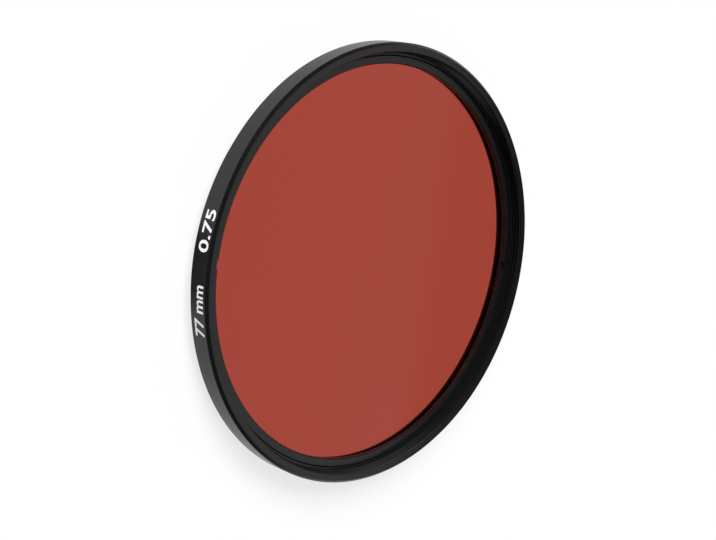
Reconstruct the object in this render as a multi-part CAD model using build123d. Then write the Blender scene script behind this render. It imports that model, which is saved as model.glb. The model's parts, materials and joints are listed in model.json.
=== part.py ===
from build123d import *
import os

os.makedirs("parts", exist_ok=True)

# Contrast filter for a camera lens: a dyed glass disc, clamped in a turned mount ring
# by a threaded retaining ring. All sizes are in millimetres. The optical axis is +Z.
# The rear thread, which screws into the lens, stands on z = 0, and the front faces up.
# +X runs through one of the spanner slots.

# Screw threads, modelled as plain walls at the height of their crests
thread_diameter = 77.0      # nominal size of the lens thread and of the accessory thread
thread_pitch = 0.75
crest_share = 0.5413        # depth of an internal metric thread, as a share of its pitch
male_thread_length = 2.0    # from the shoulder that seats on the lens to the rear end
lead_chamfer = 0.35         # lets the rear thread find its first turn
relief_width = 0.4          # groove at the shoulder in which the rear thread runs out
relief_depth = 0.5
corner_relief = 0.1         # the groove also bites into the shoulder, so that its seat starts past the thread

# Rim of the mount ring, the part that is gripped
rim_width = 1.5             # how far the rim stands out past the rear thread
front_chamfer = 0.5
shoulder_chamfer = 0.3

# Inside of the mount ring, from the front down to the lip that carries the glass
recess_depth = 2.2          # front face to the step beside the retaining ring
mouth_chamfer = 0.3
retainer_step = 0.45        # how far that step stands in from the accessory thread
retainer_sink = 0.1         # the retaining ring's face lies this far below the step
pocket_step = 0.35          # how far the glass pocket stands in from the retaining ring's thread
thread_runout = 0.2         # the retaining ring's thread goes on this far past the front of the glass
seat_width = 0.9            # lip that the edge of the glass rests on
lip_height = 1.2
flare = 0.7                 # rear edge of the lip opens outward at 45 degrees

# Glass disc
glass_thickness = 2.0
glass_bevel = 0.2
glass_clearance = 0.1       # on the radius, between the glass and its pocket

# Retaining ring
retainer_thickness = 0.9
retainer_width = 1.5        # outer edge to clear opening
retainer_chamfer = 0.15
retainer_clearance = 0.05   # on the radius, between its thread and the mount ring's
slot_count = 2              # spanner slots, spread evenly over the ring
slot_width = 1.4
slot_reach = 0.9            # how far a slot reaches out from the ring's opening
slot_depth = 0.5

# Radii, from the outside in
thread_radius = thread_diameter / 2
rim_radius = thread_radius + rim_width
relief_radius = thread_radius - relief_depth
accessory_radius = thread_radius - crest_share * thread_pitch
retainer_bore_radius = accessory_radius - retainer_step
retainer_radius = retainer_bore_radius - retainer_clearance
retainer_opening = retainer_radius - retainer_width
pocket_radius = retainer_bore_radius - pocket_step
glass_radius = pocket_radius - glass_clearance
lip_radius = pocket_radius - seat_width

# Heights, from the rear end up
glass_rear = lip_height
glass_front = glass_rear + glass_thickness
retainer_front = glass_front + retainer_thickness
step_height = retainer_front + retainer_sink
rim_front = step_height + recess_depth
shoulder_height = male_thread_length


def turned(outline):
    """Solid of revolution about the optical axis, from the (radius, height) points of its half section."""
    section = make_face(Plane.XZ * Polyline(*outline, close=True))
    return revolve(section, Axis.Z)


def make_mount_ring():
    """Both threads, shoulder, rim, glass pocket and lip, turned from one blank."""
    rear_thread = [
        (lip_radius + flare, 0),
        (thread_radius - lead_chamfer, 0),
        (thread_radius, lead_chamfer),
        (thread_radius, shoulder_height - relief_width),
        (relief_radius, shoulder_height - relief_width),
        (relief_radius, shoulder_height + corner_relief),
        (thread_radius + corner_relief, shoulder_height + corner_relief),
        (thread_radius + corner_relief, shoulder_height),
    ]
    rim = [
        (rim_radius - shoulder_chamfer, shoulder_height),
        (rim_radius, shoulder_height + shoulder_chamfer),
        (rim_radius, rim_front - front_chamfer),
        (rim_radius - front_chamfer, rim_front),
    ]
    accessory_thread = [
        (accessory_radius + mouth_chamfer, rim_front),
        (accessory_radius, rim_front - mouth_chamfer),
        (accessory_radius, step_height),
    ]
    retaining_thread = [
        (retainer_bore_radius, step_height),
        (retainer_bore_radius, glass_front - thread_runout),
    ]
    pocket_and_lip = [
        (pocket_radius, glass_front - thread_runout),
        (pocket_radius, glass_rear),
        (lip_radius, glass_rear),
        (lip_radius, flare),
    ]
    return turned(rear_thread + rim + accessory_thread + retaining_thread + pocket_and_lip)


def make_filter_glass():
    """Plane-parallel disc with a fine bevel on both edges, resting on the lip."""
    disc = Pos(0, 0, glass_rear) * Cylinder(
        glass_radius, glass_thickness, align=(Align.CENTER, Align.CENTER, Align.MIN)
    )
    return chamfer(disc.edges().filter_by(GeomType.CIRCLE), glass_bevel)


def make_retaining_ring():
    """Thin threaded ring that clamps the glass, with spanner slots open to the front and to its opening."""
    ring = turned([
        (retainer_opening, glass_front),
        (retainer_radius, glass_front),
        (retainer_radius, retainer_front - retainer_chamfer),
        (retainer_radius - retainer_chamfer, retainer_front),
        (retainer_opening + retainer_chamfer, retainer_front),
        (retainer_opening, retainer_front - retainer_chamfer),
    ])
    # The cutter starts a slot's reach inside the opening, so it is clear of the curved edge there.
    cutter = Pos(retainer_opening + slot_reach, 0, retainer_front) * Box(
        2 * slot_reach, slot_width, 2 * slot_depth, align=(Align.MAX, Align.CENTER, Align.CENTER)
    )
    for turn in range(slot_count):
        ring -= Rot(0, 0, 360 * turn / slot_count) * cutter
    return ring


for node, solid in {
    "mount_ring": make_mount_ring(),
    "filter_glass": make_filter_glass(),
    "retaining_ring": make_retaining_ring(),
}.items():
    solid.label = node
    export_step(solid, f"parts/{node}.step")
    print(node, "volume", round(solid.volume, 1), "mm3")
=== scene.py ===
# %% [markdown]
# # A red contrast filter for a camera lens
#
# A photographer screws this filter to the front of a lens. Its red glass darkens a blue sky on black
# and white film. It is made of three pieces: a mount ring turned from aluminium and anodised black,
# a disc of red glass, and a thin retaining ring that screws down on the glass. One more thing is
# made below, the white print on the rim.
#
# The exact sizes come from the CAD model, which the first cell loads. It stays where it is, and each
# piece that this lesson makes takes the place of one of its solids.

# %% Load the CAD model
import json
import math
import bmesh
import bpy
from mathutils import Matrix, Vector


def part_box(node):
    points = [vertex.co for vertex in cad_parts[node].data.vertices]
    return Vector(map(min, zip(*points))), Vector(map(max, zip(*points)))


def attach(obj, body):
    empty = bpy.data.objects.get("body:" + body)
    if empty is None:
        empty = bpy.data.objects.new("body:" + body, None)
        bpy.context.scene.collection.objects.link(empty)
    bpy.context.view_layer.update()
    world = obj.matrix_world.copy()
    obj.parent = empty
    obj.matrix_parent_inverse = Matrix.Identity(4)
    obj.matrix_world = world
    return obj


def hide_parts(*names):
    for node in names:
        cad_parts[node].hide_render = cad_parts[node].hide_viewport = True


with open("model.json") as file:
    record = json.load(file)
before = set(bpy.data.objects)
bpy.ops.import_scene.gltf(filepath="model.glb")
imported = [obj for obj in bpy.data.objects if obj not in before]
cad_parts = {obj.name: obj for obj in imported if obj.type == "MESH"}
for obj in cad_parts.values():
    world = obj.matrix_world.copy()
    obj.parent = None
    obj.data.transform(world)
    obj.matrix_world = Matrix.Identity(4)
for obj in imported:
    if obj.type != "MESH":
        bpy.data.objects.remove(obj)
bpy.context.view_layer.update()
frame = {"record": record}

# %% [markdown]
# ## Sizes
#
# Blender counts in metres, and a turner thinks in millimetres. A filter is a few millimetres deep,
# so the sizes below are written in millimetres, and the cell that makes a mesh converts them once.
#
# The main sizes are read from the CAD model: the boxes of its three solids, and the radii of its two
# threads. Only the small steps and chamfers inside these are written here.

# %% Sizes in millimetres
MM = 0.001


def reach(node):
    """Outer radius, rear height and front height of a CAD solid, in millimetres."""
    low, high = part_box(node)
    return high.x / MM, low.z / MM, high.z / MM


rim_radius, rear_face, front_face = reach("mount_ring")
glass_radius, glass_rear, glass_front = reach("filter_glass")
retainer_radius, retainer_rear, retainer_front = reach("retaining_ring")
mounts = {mount["name"]: mount for mount in frame["record"]["mounts"]}
thread_radius = mounts["lens_thread"]["dims"]["r_mm"]
accessory_radius = mounts["accessory_thread"]["dims"]["r_mm"]
shoulder = mounts["lens_shoulder"]["pos_m"][2] / MM

print(f"rim radius {rim_radius:.2f}, depth {front_face - rear_face:.2f} mm")
print(f"thread radii {thread_radius:.2f} outside and {accessory_radius:.3f} inside")

# %% [markdown]
# ## The camera
#
# The photograph shows the filter standing up, turned away by 45 degrees and leaning a little. A
# filter can't stand on its edge by itself, so here it lies flat on its rear thread, and the camera
# goes where it sees the same view. It looks down on the filter, and it is rolled on its side, so
# that the filter's +Y axis points up in the picture.
#
# A few numbers describe that view: the pixel on which the middle of the front falls, how many pixels
# the rim's radius takes up, how far the filter's axis is turned and how far it leans, and how far
# away the camera stands. The last one sets the perspective: the nearer the camera, the larger the
# near side of the rim. The lens then follows. A camera could also be moved by eye until the picture
# fits, but numbers can be changed one at a time.

# %% Place the camera
PICTURE_WIDTH = 716          # pixels
PICTURE_HEIGHT = 540
FRONT_CENTRE = (383.4, 267.7)  # pixel on which the middle of the front face falls
RIM_PIXELS = 223.4           # length of the rim's radius at that distance
TURN = math.radians(45.0)
LEAN = math.radians(11.2)
DISTANCE = 6.26              # from the front face, along the view, in rim radii
SENSOR_WIDTH = 36            # millimetres

right = Vector((math.cos(TURN), math.sin(LEAN) * math.sin(TURN), math.cos(LEAN) * math.sin(TURN)))
up = Vector((0, math.cos(LEAN), -math.sin(LEAN)))
forward = up.cross(right)

pixel = rim_radius / RIM_PIXELS
middle_right = (FRONT_CENTRE[0] - PICTURE_WIDTH / 2) * pixel
middle_down = (FRONT_CENTRE[1] - PICTURE_HEIGHT / 2) * pixel
middle = Vector((0, 0, front_face))
eye = middle - forward * DISTANCE * rim_radius - right * middle_right + up * middle_down

camera_data = bpy.data.cameras.new("camera")
camera_data.sensor_width = SENSOR_WIDTH
camera_data.lens = SENSOR_WIDTH * DISTANCE * RIM_PIXELS / PICTURE_WIDTH
camera_data.clip_start = 0.01
camera = bpy.data.objects.new("camera", camera_data)
camera.matrix_world = Matrix.Translation(eye * MM) @ Matrix((right, up, -forward)).transposed().to_4x4()
bpy.context.scene.collection.objects.link(camera)
bpy.context.scene.camera = camera
print(f"lens {camera_data.lens:.1f} mm, camera {(eye - middle).length:.0f} mm from the front face")

# %% [markdown]
# ## Shader maths in Python
#
# A finish in Blender is a graph of nodes. Wiring each node by hand hides the idea behind it, so two
# small classes do it here. `Graph.node` adds any node: its settings first, then a value or a link
# for each socket. `Wire` is what comes out of a node. Adding, subtracting or multiplying wires adds
# Math nodes, so a formula can be written as a formula.

# %% Two classes for node graphs


class Wire:
    """One output of a node. Arithmetic on it adds Math nodes to its graph."""

    def __init__(self, graph, socket):
        self.graph = graph
        self.socket = socket

    def math(self, operation, first, second):
        inputs = {"Value": first, "Value_001": second}
        return self.graph.node("ShaderNodeMath", {"operation": operation}, inputs, "Value")

    def __add__(self, other):
        return self.math("ADD", self, other)

    def __radd__(self, other):
        return self.math("ADD", other, self)

    def __sub__(self, other):
        return self.math("SUBTRACT", self, other)

    def __rsub__(self, other):
        return self.math("SUBTRACT", other, self)

    def __mul__(self, other):
        return self.math("MULTIPLY", self, other)

    def __rmul__(self, other):
        return self.math("MULTIPLY", other, self)


class Graph:
    """The node graph of a material or of the world."""

    def __init__(self, owner):
        owner.use_nodes = True
        self.tree = owner.node_tree
        self.tree.nodes.clear()

    def node(self, kind, settings, inputs, output):
        """Adds a node, sets it up, fills its sockets and returns the output of that name."""
        made = self.tree.nodes.new(kind)
        for name, value in settings.items():
            setattr(made, name, value)
        sockets = {socket.identifier: socket for socket in made.inputs}
        for name, value in inputs.items():
            if isinstance(value, Wire):
                self.tree.links.new(value.socket, sockets[name])
            else:
                sockets[name].default_value = value
        outputs = {socket.identifier: socket for socket in made.outputs}
        return Wire(self, outputs[output]) if output else None

    def ray(self, kind):
        """1 for rays of this kind, such as Is Camera Ray, and 0 for others."""
        return self.node("ShaderNodeLightPath", {}, {}, kind)

    def smooth_step(self, value, start, end):
        """Rises smoothly from 0 at start to 1 at end."""
        return self.node(
            "ShaderNodeMapRange",
            {"interpolation_type": "SMOOTHSTEP"},
            {"Value": value, "From Min": start, "From Max": end},
            "Result",
        )

    def varied(self, value, middle, spread):
        """Spreads a value from 0 to 1 around a middle, by as much to both sides."""
        return middle - spread + value * (2 * spread)


# %% [markdown]
# ## The studio
#
# The photograph has a pure white background and a faint soft shadow. So the floor is a wide sheet of
# white card. Most of what the camera sees of it is plain white and the rest is the light that falls
# on it, which keeps the shadow but makes it faint. Through the glass it is plain white, and the
# metal mirrors it a little darker.
#
# A black, satin ring has little colour of its own: what makes its form visible is what it reflects.
# The rim mirrors the card on which the filter lies, with a dark spot in it where the rim is dark in
# the photograph. The room is dim, so a chamfer that faces the camera stays black. A white board
# stands to the right of the filter, and the front face mirrors it. The board has a soft lower edge
# well above the filter, so the face is grey on the left and fades to black on the right. It shows in
# reflections only and lights nothing.
#
# A lamp like a big round window gives most of the light, and a dim even sky gives the rest. The lamp
# is left out of reflections, where it would draw a bright line on every chamfer. A picture of a real
# studio could light the scene too, but a lamp, a card and a board can be moved one at a time.

# %% Floor
FLOOR_RADIUS = 3.0           # metres
FLOOR_GAP = 0.00002          # keeps the floor just clear of the ring that lies on it
CARD_WHITE = 0.96
CARD_PLAIN = 0.76            # share of the card that looks plain white to the camera
CARD_MIRRORED = 0.75         # brightness of the card in the metal
SPOT_PLACE = (-43, -1)       # middle of the dark spot that the rim's left side mirrors, millimetres
SPOT_SIZE = (7, 9)
SPOT_EDGE = (0.4, 1.2)       # start and end of its soft edge, as shares of that size
SPOT_DARK = 0.8


def dark_spot(graph):
    """1 in the dark spot, and 0 on the rest of the floor."""
    place = graph.node("ShaderNodeTexCoord", {}, {}, "Object")
    centred = graph.node(
        "ShaderNodeVectorMath",
        {"operation": "SUBTRACT"},
        {"Vector": place, "Vector_001": (*[value * MM for value in SPOT_PLACE], 0)},
        "Vector",
    )
    scaled = graph.node(
        "ShaderNodeVectorMath",
        {"operation": "MULTIPLY"},
        {"Vector": centred, "Vector_001": (*[1 / (value * MM) for value in SPOT_SIZE], 0)},
        "Vector",
    )
    distance = graph.node("ShaderNodeVectorMath", {"operation": "LENGTH"}, {"Vector": scaled}, "Value")
    return 1 - graph.smooth_step(distance, *SPOT_EDGE)


def make_card():
    """Matt white card, most of which the camera sees as plain white."""
    card = bpy.data.materials.new("white_card")
    graph = Graph(card)
    white = (CARD_WHITE, CARD_WHITE, CARD_WHITE, 1)
    lit = graph.node("ShaderNodeBsdfDiffuse", {}, {"Color": white}, "BSDF")
    through = graph.ray("Is Transmission Ray")
    mirrored = graph.ray("Is Glossy Ray") * (1 - through)
    in_metal = CARD_MIRRORED * (1 - SPOT_DARK * dark_spot(graph))
    strength = 1 - mirrored * (1 - in_metal)
    plain = graph.node("ShaderNodeEmission", {}, {"Strength": strength}, "Emission")
    share = graph.ray("Is Camera Ray") * CARD_PLAIN + through + mirrored
    surface = graph.node(
        "ShaderNodeMixShader",
        {},
        {"Fac": share, "Shader": lit, "Shader_001": plain},
        "Shader",
    )
    graph.node("ShaderNodeOutputMaterial", {}, {"Surface": surface}, None)
    return card


def make_floor():
    """A wide round sheet of that card, just under the filter."""
    bm = bmesh.new()
    bmesh.ops.create_circle(bm, cap_ends=True, radius=FLOOR_RADIUS, segments=64)
    mesh = bpy.data.meshes.new("floor")
    bm.to_mesh(mesh)
    bm.free()
    mesh.materials.append(make_card())
    floor = bpy.data.objects.new("floor", mesh)
    floor.location.z = rear_face * MM - FLOOR_GAP
    bpy.context.scene.collection.objects.link(floor)


make_floor()
print(f"floor: white card, {2 * FLOOR_RADIUS:.0f} m across")

# %% Sky and lamp
ROOM_GREY = 0.04             # what metal and glass mirror where there is no board and no card
SKY = 0.2                    # even light from all sides
LAMP_LIGHT = 0.88            # what the lamp adds on the floor, so that white card comes out white
LAMP_ELEVATION = math.radians(42)
LAMP_AZIMUTH = math.radians(118)
LAMP_WIDTH = math.radians(36)


def make_world():
    """An even sky that metal mirrors as a dim room. The camera and the glass see plain white."""
    world = bpy.data.worlds.new("studio")
    bpy.context.scene.world = world
    graph = Graph(world)
    seen = graph.ray("Is Camera Ray") + graph.ray("Is Transmission Ray")
    mirrored = graph.ray("Is Glossy Ray")
    room = SKY + (ROOM_GREY - SKY) * mirrored
    strength = seen + (1 - seen) * room
    light = graph.node("ShaderNodeBackground", {}, {"Strength": strength}, "Background")
    graph.node("ShaderNodeOutputWorld", {}, {"Surface": light}, None)


def make_lamp():
    """A lamp as wide as a big window, far away."""
    data = bpy.data.lights.new("window", "SUN")
    data.angle = LAMP_WIDTH
    data.energy = LAMP_LIGHT * math.pi / math.sin(LAMP_ELEVATION)
    lamp = bpy.data.objects.new("window", data)
    level = math.cos(LAMP_ELEVATION)
    toward = Vector((
        level * math.cos(LAMP_AZIMUTH),
        level * math.sin(LAMP_AZIMUTH),
        math.sin(LAMP_ELEVATION),
    ))
    lamp.rotation_mode = "QUATERNION"
    lamp.rotation_quaternion = toward.to_track_quat("Z", "Y")
    lamp.visible_glossy = False
    bpy.context.scene.collection.objects.link(lamp)


make_world()
make_lamp()
bpy.context.scene.view_settings.view_transform = "Standard"
print(f"light on the floor: {LAMP_LIGHT} from the lamp and {SKY} from the sky")

# %% White board
BOARD_WHITE = 0.6            # brightness, where 1 is white
BOARD_PLACE = 80             # from the middle of the filter along X, millimetres
BOARD_FOOT = 54              # height of its lower edge over the front face
BOARD_TOP = 260              # height of its upper edge over the front face
BOARD_HALF_WIDTH = 160
BOARD_SOFT = 7               # half the width of the soft lower edge


def make_board():
    """A board that stands beside the filter and that only reflections show."""
    material = bpy.data.materials.new("white_board")
    graph = Graph(material)
    place = graph.node("ShaderNodeTexCoord", {}, {}, "Object")
    height = graph.node("ShaderNodeSeparateXYZ", {}, {"Vector": place}, "Z")
    foot = front_face + BOARD_FOOT
    above = graph.smooth_step(height, (foot - BOARD_SOFT) * MM, (foot + BOARD_SOFT) * MM)
    strength = ROOM_GREY + (BOARD_WHITE - ROOM_GREY) * above
    glow = graph.node("ShaderNodeEmission", {}, {"Strength": strength}, "Emission")
    graph.node("ShaderNodeOutputMaterial", {}, {"Surface": glow}, None)
    sides = (-BOARD_HALF_WIDTH, BOARD_HALF_WIDTH)
    ends = (foot - BOARD_SOFT, front_face + BOARD_TOP)
    corners = [(sides[0], ends[0]), (sides[1], ends[0]), (sides[1], ends[1]), (sides[0], ends[1])]
    bm = bmesh.new()
    bm.faces.new([bm.verts.new((BOARD_PLACE * MM, y * MM, z * MM)) for y, z in corners])
    mesh = bpy.data.meshes.new("white_board")
    bm.to_mesh(mesh)
    bm.free()
    mesh.materials.append(material)
    board = bpy.data.objects.new("white_board", mesh)
    board.visible_camera = False
    board.visible_diffuse = False
    board.visible_transmission = False
    board.visible_shadow = False
    bpy.context.scene.collection.objects.link(board)


make_board()
print(f"white board: {2 * BOARD_HALF_WIDTH} mm wide, {BOARD_PLACE} mm from the filter's axis")

# %% [markdown]
# ## The black anodised finish
#
# Anodising grows a hard, clear layer on aluminium, which is dyed black and sealed. It shines like a
# dielectric and not like bare metal, so Metallic stays 0. Its colour is a little above pure black.
#
# The piece was turned in a lathe before that, and the tool left fine grooves that run round the
# axis. Two things show them. The gloss is wider across the grooves than along them, which is what
# Anisotropic does. The default tangent of Cycles runs round the Z axis, and a rotation of a quarter
# turns it across the grooves. And a fine bump changes with the distance from the axis and with the
# height, but never on the way round. Painting the grooves from a texture image would need UVs and
# would swim on the walls, so the bump is worked out from the place in the object instead.

# %% Make the anodised finish
BLACK = 0.006
BLACK_SPREAD = 0.002
SATIN = 0.26
SATIN_SPREAD = 0.05
TOOL_MARK = 0.07             # distance between tool marks, millimetres
TOOL_MARK_DEPTH = 0.0005
WAVE = 0.6                   # slower waves of the turned surface, millimetres
WAVE_DEPTH = 0.0006
CLOUD = 0.25                 # size of the cloudiness in the dye, millimetres
LAYER_IOR = 1.5
STRETCH = 0.5                # how much wider the gloss is across the grooves
QUARTER_TURN = 0.25          # of a full turn


def noise(graph, place, size, dimensions, detail):
    """Noise from 0 to 1 whose spots are about `size` millimetres across."""
    settings = {"noise_dimensions": dimensions}
    inputs = {"Vector": place, "Scale": 1 / (size * MM), "Detail": detail}
    return graph.node("ShaderNodeTexNoise", settings, inputs, "Fac")


def lathe_place(graph, place):
    """Distance from the axis and height as a vector: constant on the way round."""
    across = graph.node(
        "ShaderNodeVectorMath",
        {"operation": "MULTIPLY"},
        {"Vector": place, "Vector_001": (1, 1, 0)},
        "Vector",
    )
    radius = graph.node("ShaderNodeVectorMath", {"operation": "LENGTH"}, {"Vector": across}, "Value")
    height = graph.node("ShaderNodeSeparateXYZ", {}, {"Vector": place}, "Z")
    return graph.node("ShaderNodeCombineXYZ", {}, {"X": radius, "Y": height}, "Vector")


def grey(graph, shade):
    """A neutral colour from one value."""
    channels = {"Red": shade, "Green": shade, "Blue": shade}
    return graph.node("ShaderNodeCombineColor", {}, channels, "Color")


def make_anodised():
    material = bpy.data.materials.new("black_anodised")
    graph = Graph(material)
    place = graph.node("ShaderNodeTexCoord", {}, {}, "Object")
    turned_place = lathe_place(graph, place)
    cloud = noise(graph, place, CLOUD, "3D", 2)
    marks = noise(graph, turned_place, TOOL_MARK, "2D", 1)
    waves = noise(graph, turned_place, WAVE, "2D", 2)
    shade = graph.varied(cloud, BLACK, BLACK_SPREAD)
    colour = grey(graph, shade)
    depth = marks * TOOL_MARK_DEPTH + waves * WAVE_DEPTH
    grooves = graph.node("ShaderNodeBump", {}, {"Height": depth * MM, "Distance": 1.0}, "Normal")
    surface = graph.node(
        "ShaderNodeBsdfPrincipled",
        {},
        {
            "Base Color": colour,
            "Roughness": graph.varied(waves, SATIN, SATIN_SPREAD),
            "IOR": LAYER_IOR,
            "Anisotropic": STRETCH,
            "Anisotropic Rotation": QUARTER_TURN,
            "Normal": grooves,
        },
        "BSDF",
    )
    graph.node("ShaderNodeOutputMaterial", {}, {"Surface": surface}, None)
    return material


anodised = make_anodised()
print("anodised finish:", len(anodised.node_tree.nodes), "nodes")

# %% [markdown]
# ## Turning a ring
#
# A lathe makes a piece from one outline, its half section. So does the next cell: it walks round the
# axis and puts a copy of the outline at each step. Blender's Screw modifier can do that for a plain
# ring. Here the outline may change on the way round, because that is what a screw thread is, so the
# cell takes a function that gives the outline for each share of a full turn.
#
# Real edges are never perfectly sharp. `eased` rounds each corner of an outline a little, so that
# the edges catch some light.

# %% Lathe helpers
STEPS_ROUND = 480            # copies of the outline in a full turn
WELD = 0.0002                # millimetres: points nearer than this become one
ARC_STEP = math.radians(20)
SHARP = math.radians(30)


def eased(points, radius):
    """The same open outline of (radius, height) points, with its corners rounded."""
    corners = [Vector(point) for point in points]
    made = [corners[0]]
    for before, corner, after in zip(corners, corners[1:], corners[2:]):
        back = before - corner
        on = after - corner
        turn = math.pi - back.angle(on)
        cut = min(radius * math.tan(turn / 2), 0.45 * back.length, 0.45 * on.length)
        start = corner + back.normalized() * cut
        end = corner + on.normalized() * cut
        steps = max(2, math.ceil(turn / ARC_STEP))
        for step in range(steps + 1):
            t = step / steps
            made.append((1 - t) ** 2 * start + 2 * t * (1 - t) * corner + t**2 * end)
    return [tuple(point) for point in made + [corners[-1]]]


def turned(name, outline, material):
    """A closed ring or disc, from a function that gives its outline at each share of a turn."""
    bm = bmesh.new()
    columns = []
    for step in range(STEPS_ROUND + 1):
        share = step / STEPS_ROUND
        angle = 2 * math.pi * share
        x, y = math.cos(angle) * MM, math.sin(angle) * MM
        columns.append([bm.verts.new((r * x, r * y, height * MM)) for r, height in outline(share)])
    for column, following in zip(columns, columns[1:]):
        for row in range(len(column)):
            bm.faces.new((column[row - 1], following[row - 1], following[row], column[row]))
    bmesh.ops.remove_doubles(bm, verts=bm.verts, dist=WELD * MM)
    loose = [edge for edge in bm.edges if edge.is_wire]
    bmesh.ops.delete(bm, geom=loose, context="EDGES")
    bmesh.ops.recalc_face_normals(bm, faces=bm.faces)
    return finished(name, bm, material)


def finished(name, bm, material):
    """Turns a bmesh into an object with smooth faces, sharp corners and a finish."""
    open_edges = sum(not edge.is_manifold for edge in bm.edges)
    volume = bm.calc_volume() / MM**3
    mesh = bpy.data.meshes.new(name)
    bm.to_mesh(mesh)
    bm.free()
    mesh.shade_smooth()
    mesh.set_sharp_from_angle(angle=SHARP)
    mesh.materials.append(material)
    made = bpy.data.objects.new(name, mesh)
    bpy.context.scene.collection.objects.link(made)
    made.modifiers.new("even shading on flat faces", "WEIGHTED_NORMAL").keep_sharp = True
    triangles = sum(len(polygon.vertices) - 2 for polygon in mesh.polygons)
    print(f"{name}: {triangles} triangles, {open_edges} open edges, {volume:.0f} cubic mm")
    return made


# %% [markdown]
# ## Screw threads
#
# The filter has two threads that show: the one at the back, which goes into the lens, and the one
# inside the front, which takes a hood or a second filter. Both are right-hand and rise by 0.75 mm a
# turn. Their flanks lean by 30 degrees, with a flat at the crest and a flat at the root.
#
# At each share of a turn a thread is the same row of ridges, moved up by that share of the pitch.
# So the function below returns the ridges' corners as rows of the outline, moved up and held between
# the two ends of the threaded wall. Rows that are held at an end fall on each other and are welded
# by the lathe helper. After a full turn every row lies where the next pitch began, and the mesh
# closes on itself without a seam. A bump in the finish could fake the threads, but the mouth of the
# ring shows them against its edge, where only real ridges look right.

# %% Rows of a thread
PITCH = 0.75
FLANK = math.radians(30)
CORNER = 0.02                # half the width of a broken corner, as a share of the pitch
ROOT_DEPTH = 0.6134          # depth of the outer thread, as a share of the pitch
OUTER_CREST = 1 / 16         # half of the flat on an outer crest, as a share of the pitch
INNER_CREST = 1 / 8          # and on an inner one


def ridge(height, share, crest, root, half_flat):
    """Radius of a thread at this height. half_flat is half of the crest's flat, in pitches."""
    phase = abs((height / PITCH - share + 0.5) % 1 - 0.5)
    flank = abs(root - crest) * math.tan(FLANK) / PITCH
    down = min(max((phase - half_flat) / flank, 0), 1)
    return crest + (root - crest) * down


def thread_heights(share, low, high, crest, root, half_flat):
    """Heights of a thread's corners, from low to high, at this share of a turn."""
    flank = abs(root - crest) * math.tan(FLANK) / PITCH
    half = [half_flat - CORNER, half_flat + CORNER, half_flat + flank / 2]
    half += [half_flat + flank - CORNER, half_flat + flank + CORNER]
    phases = [-value for value in reversed(half)] + half
    turns = range(math.floor(low / PITCH) - 1, math.ceil(high / PITCH) + 1)
    heights = [PITCH * (turn + phase + share) for turn in turns for phase in phases]
    return [min(max(height, low), high) for height in heights]


# %% [markdown]
# ## The mount ring
#
# This is the ring that is gripped. It is one turned piece: rear thread, a groove in which that
# thread runs out, the shoulder that stops against the lens, the rim with its chamfers, the front
# thread, a step, the bore for the retaining ring, the pocket for the glass and the lip under it.
#
# Both threads meet a chamfer at their open end. A turner cuts the chamfer and the thread one after
# the other, and what is left is what neither tool took away. For the outer thread that is the
# smaller of two radii, and for the inner one the larger.
#
# Threads and rim could be separate meshes, pushed into each other. One outline is harder to write,
# but it gives one closed piece, as the lathe does, with nothing hidden inside the metal.

# %% Sizes of the mount ring
EDGE = 0.06                  # rounding of the edges
INK = 0.02                   # thickness of the print, which is kept inside the rim's radius
lead_chamfer = 0.35
relief_width = 0.4
relief_depth = 0.5
corner_relief = 0.1
shoulder_chamfer = 0.3
front_chamfer = 0.5
mouth_chamfer = 0.3
runout = 0.3                 # height over which the front thread fades out above the step
retainer_clearance = 0.05
retainer_sink = 0.1
pocket_step = 0.35
thread_runout = 0.2
seat_width = 0.9
flare = 0.7

wall_radius = rim_radius - INK
step_height = retainer_front + retainer_sink
bore_radius = retainer_radius + retainer_clearance
pocket_radius = bore_radius - pocket_step
lip_radius = pocket_radius - seat_width
relief_radius = thread_radius - relief_depth
thread_root = thread_radius - ROOT_DEPTH * PITCH
print(f"step at {step_height:.2f} mm, glass pocket {2 * pocket_radius:.2f} mm across")

# %% Outline of the mount ring
# The thread's functions below make the chamfers of both threads, so this outline stops short of them.
outside = eased([
    (relief_radius, shoulder - relief_width),
    (relief_radius, shoulder + corner_relief),
    (thread_radius + corner_relief, shoulder + corner_relief),
    (thread_radius + corner_relief, shoulder),
    (rim_radius - shoulder_chamfer, shoulder),
    (wall_radius, shoulder + shoulder_chamfer),
    (wall_radius, front_face - front_chamfer),
    (rim_radius - front_chamfer, front_face),
    (accessory_radius + 2 * mouth_chamfer, front_face),
], EDGE)
inside = eased([
    (accessory_radius, step_height),
    (bore_radius, step_height),
    (bore_radius, glass_front - thread_runout),
    (pocket_radius, glass_front - thread_runout),
    (pocket_radius, glass_rear),
    (lip_radius, glass_rear),
    (lip_radius, rear_face + flare),
    (lip_radius + flare, rear_face),
    (thread_radius - 2 * lead_chamfer, rear_face),
], EDGE)
print(len(outside) + len(inside), "points between the threads")

# %% Turn the mount ring


def outer_thread(share):
    """The lens thread, from the rear end up to the groove in which it runs out."""
    size = (thread_radius, thread_root, OUTER_CREST)
    rows = []
    for height in thread_heights(share, rear_face, shoulder - relief_width, *size):
        chamfer = thread_radius - max(0, rear_face + lead_chamfer - height)
        rows.append((min(chamfer, ridge(height, share, *size)), height))
    return rows


def inner_thread(share):
    """The accessory thread, from the front face down to the step."""
    size = (accessory_radius, thread_radius, INNER_CREST)
    rows = []
    for height in reversed(thread_heights(share, step_height, front_face, *size)):
        chamfer = accessory_radius + max(0, height - front_face + mouth_chamfer)
        fade = min((height - step_height) / runout, 1)
        depth = (ridge(height, share, *size) - accessory_radius) * fade
        rows.append((max(chamfer, accessory_radius + depth), height))
    return rows


def mount_outline(share):
    return outer_thread(share) + outside + inner_thread(share) + inside


mount_ring = turned("mount_ring_turned", mount_outline, anodised)
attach(mount_ring, "root")
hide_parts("mount_ring")

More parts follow.
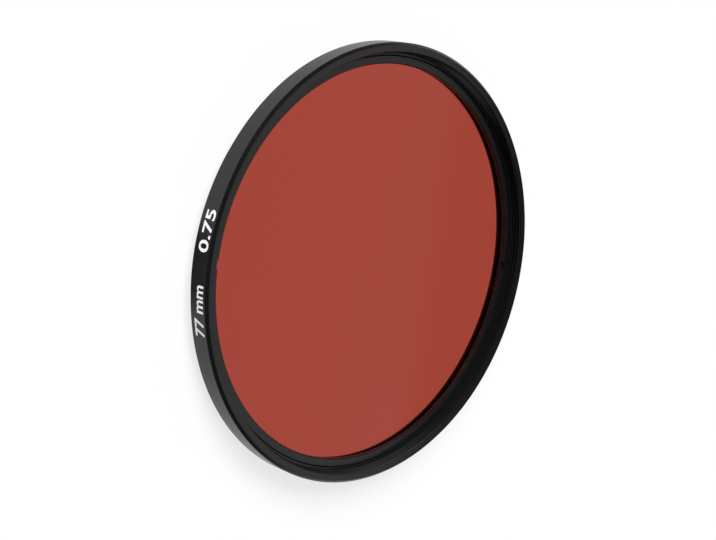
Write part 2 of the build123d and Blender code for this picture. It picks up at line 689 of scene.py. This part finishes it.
# %% [markdown]
# ## The retaining ring
#
# A thin ring, screwed down on the glass. A spanner with two pins turns it, so it has two slots,
# opposite each other and open to the front and to the middle. The ring comes from the lathe helper.
# The slots are milled: a Boolean modifier takes away a block at each, and its result becomes the
# ring's mesh. Cutting them by hand in the mesh would need points just where the cutter's sides go.

# %% Sizes and outline of the retaining ring
retainer_width = 1.5
retainer_chamfer = 0.15
slot_count = 2
slot_width = 1.4
slot_reach = 0.9
slot_depth = 0.5
SEAT_GAP = 0.005             # keeps touching faces apart, so that they don't flicker

retainer_opening = retainer_radius - retainer_width
retainer_middle = (retainer_opening + retainer_radius) / 2
retainer_seat = retainer_rear + SEAT_GAP

# It starts and ends in the middle of the rear face, because `eased` leaves both ends sharp.
retainer_outline = eased([
    (retainer_middle, retainer_seat),
    (retainer_radius, retainer_seat),
    (retainer_radius, retainer_front - retainer_chamfer),
    (retainer_radius - retainer_chamfer, retainer_front),
    (retainer_opening + retainer_chamfer, retainer_front),
    (retainer_opening, retainer_front - retainer_chamfer),
    (retainer_opening, retainer_seat),
    (retainer_middle, retainer_seat),
], EDGE / 2)
print(f"opening {2 * retainer_opening:.2f} mm across, {slot_count} slots")

# %% Turn the retaining ring and mill its slots


def slot_cutter(angle):
    """A block that reaches into the ring from its opening, and stands out above it."""
    size = Vector((2 * slot_reach, slot_width, 2 * slot_depth)) * MM
    centre = Vector((retainer_opening, 0, retainer_front)) * MM
    bm = bmesh.new()
    place = Matrix.Rotation(angle, 4, "Z") @ Matrix.Translation(centre) @ Matrix.Diagonal(size).to_4x4()
    bmesh.ops.create_cube(bm, size=1, matrix=place)
    mesh = bpy.data.meshes.new("cutter")
    bm.to_mesh(mesh)
    bm.free()
    cutter = bpy.data.objects.new("cutter", mesh)
    bpy.context.scene.collection.objects.link(cutter)
    return cutter


def cut_away(piece, cutters):
    """Takes the cutters' shapes out of the piece's mesh, for good."""
    for cutter in cutters:
        boolean = piece.modifiers.new("cut", "BOOLEAN")
        boolean.operation = "DIFFERENCE"
        boolean.object = cutter
    result = bpy.data.meshes.new_from_object(piece.evaluated_get(bpy.context.evaluated_depsgraph_get()))
    for cutter in cutters:
        bpy.data.objects.remove(cutter)
    return result


blank = turned("blank", lambda share: retainer_outline[:-1], anodised)
blank.modifiers.clear()      # the slotted ring gets its own even shading
cutters = [slot_cutter(2 * math.pi * turn / slot_count) for turn in range(slot_count)]
cut_mesh = cut_away(blank, cutters)
bpy.data.objects.remove(blank)
bm = bmesh.new()
bm.from_mesh(cut_mesh)
bpy.data.meshes.remove(cut_mesh)
retaining_ring = finished("retaining_ring_slotted", bm, anodised)
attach(retaining_ring, "root")
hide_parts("retaining_ring")

# %% [markdown]
# ## The red glass
#
# The disc is dyed in the mass and polished on both faces. The card shows plain white behind it, so
# the glass has the colour that white light has after one pass. The faces carry a thin coating that
# takes most of the mirror image away. In Cycles a specular level doesn't dim the mirror image of a
# clear surface, but a dark specular tint does. The bevels and the edge are only ground, not
# polished: they are rough, which a step in Roughness at their radius shows.
#
# A coloured volume inside the disc could do the dyeing too, and would be truer for a thick lens. In a
# flat disc each ray goes the same way through, so a coloured surface looks alike and is simpler.

# %% Make the red glass
DYE = (0.37, 0.0575, 0.039)     # colour of white light after one pass
DYE_SPREAD = 0.01
STREAK = 6.0                 # size of the faint streaks that every melt of glass has, millimetres
POLISHED = 0.02
GROUND = 0.45
COATED = 0.02                # mirror image of a coated face, as a share of bare glass's
GLASS_IOR = 1.52
BEVEL_BLEND = 0.02           # width of the change from polished to ground, millimetres
glass_bevel = 0.2


def make_red_glass():
    material = bpy.data.materials.new("red_glass")
    graph = Graph(material)
    place = graph.node("ShaderNodeTexCoord", {}, {}, "Object")
    streaks = noise(graph, place, STREAK, "3D", 2)
    dye = graph.node(
        "ShaderNodeMix",
        {"data_type": "RGBA"},
        {
            "Factor_Float": streaks,
            "A_Color": (*(value * (1 - DYE_SPREAD) for value in DYE), 1),
            "B_Color": (*(value * (1 + DYE_SPREAD) for value in DYE), 1),
        },
        "Result_Color",
    )
    radius = graph.node("ShaderNodeSeparateXYZ", {}, {"Vector": lathe_place(graph, place)}, "X")
    bevel_start = (glass_radius - glass_bevel) * MM
    ground = graph.smooth_step(radius, bevel_start - BEVEL_BLEND * MM, bevel_start)
    surface = graph.node(
        "ShaderNodeBsdfPrincipled",
        {},
        {
            "Base Color": dye,
            "Roughness": POLISHED + ground * (GROUND - POLISHED),
            "IOR": GLASS_IOR,
            "Specular Tint": (COATED, COATED, COATED, 1),
            "Transmission Weight": 1.0,
        },
        "BSDF",
    )
    graph.node("ShaderNodeOutputMaterial", {}, {"Surface": surface}, None)
    return material


red_glass = make_red_glass()
print("red glass:", len(red_glass.node_tree.nodes), "nodes")

# %% Turn the glass
glass_low = glass_rear + SEAT_GAP
glass_high = glass_front - SEAT_GAP
flat_steps = [0, 0.25, 0.5, 0.75]   # circles of points on the flat faces, as shares of the radius
flat = [step * glass_radius for step in flat_steps]
glass_outline = [(radius, glass_low) for radius in flat]
glass_outline += eased([
    (flat[-1], glass_low),
    (glass_radius - glass_bevel, glass_low),
    (glass_radius, glass_low + glass_bevel),
    (glass_radius, glass_high - glass_bevel),
    (glass_radius - glass_bevel, glass_high),
    (flat[-1], glass_high),
], EDGE / 2)[1:-1]
glass_outline += [(radius, glass_high) for radius in reversed(flat)]

filter_glass = turned("filter_glass_red", lambda share: glass_outline, red_glass)
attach(filter_glass, "root")
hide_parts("filter_glass")

# %% [markdown]
# ## The print on the rim
#
# Filters are marked on the rim in white ink. Here it is the size of the lens thread and its pitch,
# as plain numbers. The tops of the figures point to the rear thread.
#
# The print is made as flat text, cut into narrow strips and then bent round the rim: the way along
# the line becomes an angle, and the way up becomes a height. A Shrinkwrap modifier could lay the
# text on the ring too, but it pulls the sides of the figures out of shape.

# %% Make the ink
SPECK = 0.12                 # size of the grain in the ink, millimetres
INK_WHITE = 0.86
INK_WHITE_SPREAD = 0.06
INK_ROUGH = 0.55
INK_ROUGH_SPREAD = 0.1


def make_ink():
    material = bpy.data.materials.new("white_print")
    graph = Graph(material)
    place = graph.node("ShaderNodeTexCoord", {}, {}, "Object")
    speck = noise(graph, place, SPECK, "3D", 3)
    surface = graph.node(
        "ShaderNodeBsdfPrincipled",
        {},
        {
            "Base Color": grey(graph, graph.varied(speck, INK_WHITE, INK_WHITE_SPREAD)),
            "Roughness": graph.varied(speck, INK_ROUGH, INK_ROUGH_SPREAD),
        },
        "BSDF",
    )
    graph.node("ShaderNodeOutputMaterial", {}, {"Surface": surface}, None)
    return material


ink = make_ink()
print("white ink:", len(ink.node_tree.nodes), "nodes")

# %% Print the figures
PRINT_HEIGHT = 2.25          # millimetres
PRINT_BASE = 0.95            # from the front face to the foot of the figures
PRINT_BOLD = 0.055           # how far each stroke is thickened on both sides
STRIP = 0.3                  # width of the strips that bend round the rim
CAP_SHARE = 0.7              # height of a figure, as a share of the font's size
# Words, angle of their middle in degrees, and length on the rim in millimetres
prints = [("77 mm", 191.0, 8.7), ("0.75", 172.0, 7.0)]


def flat_text(words):
    """The words as a thin closed mesh in millimetres, centred, lying in the XY plane."""
    text = bpy.data.curves.new("text", "FONT")
    text.body = words
    text.size = PRINT_HEIGHT / CAP_SHARE
    text.align_x = "CENTER"
    text.offset = PRINT_BOLD
    text.extrude = INK / 2
    text.resolution_u = 6
    holder = bpy.data.objects.new("text", text)
    bpy.context.scene.collection.objects.link(holder)
    mesh = bpy.data.meshes.new_from_object(holder.evaluated_get(bpy.context.evaluated_depsgraph_get()))
    bpy.data.objects.remove(holder)
    bm = bmesh.new()
    bm.from_mesh(mesh)
    bpy.data.meshes.remove(mesh)
    bmesh.ops.remove_doubles(bm, verts=bm.verts, dist=WELD)
    return bm


def bent_print(name, words, centre, length, ink):
    """The words round the rim, centred at an angle in degrees and as long as asked for."""
    bm = flat_text(words)
    low = min(vert.co.x for vert in bm.verts)
    high = max(vert.co.x for vert in bm.verts)
    stretch = length / (high - low)
    shift = (high + low) / 2
    for cut in range(1, math.ceil((high - low) / STRIP)):
        everything = bm.verts[:] + bm.edges[:] + bm.faces[:]
        place = Vector((low + cut * STRIP, 0, 0))
        bmesh.ops.bisect_plane(bm, geom=everything, plane_co=place, plane_no=(1, 0, 0))
    for vert in bm.verts:
        along = (vert.co.x - shift) * stretch
        angle = math.radians(centre) - along / rim_radius
        radius = rim_radius - INK / 2 + vert.co.z
        height = front_face - PRINT_BASE - vert.co.y
        vert.co = Vector((radius * math.cos(angle), radius * math.sin(angle), height)) * MM
    bmesh.ops.recalc_face_normals(bm, faces=bm.faces)
    print(f"{words}: stretched by {stretch:.2f}")
    return finished(name, bm, ink)


for number, (words, centre, length) in enumerate(prints, start=1):
    figures = bent_print(f"rim_print_{number}", words, centre, length, ink)
    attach(figures, "root")
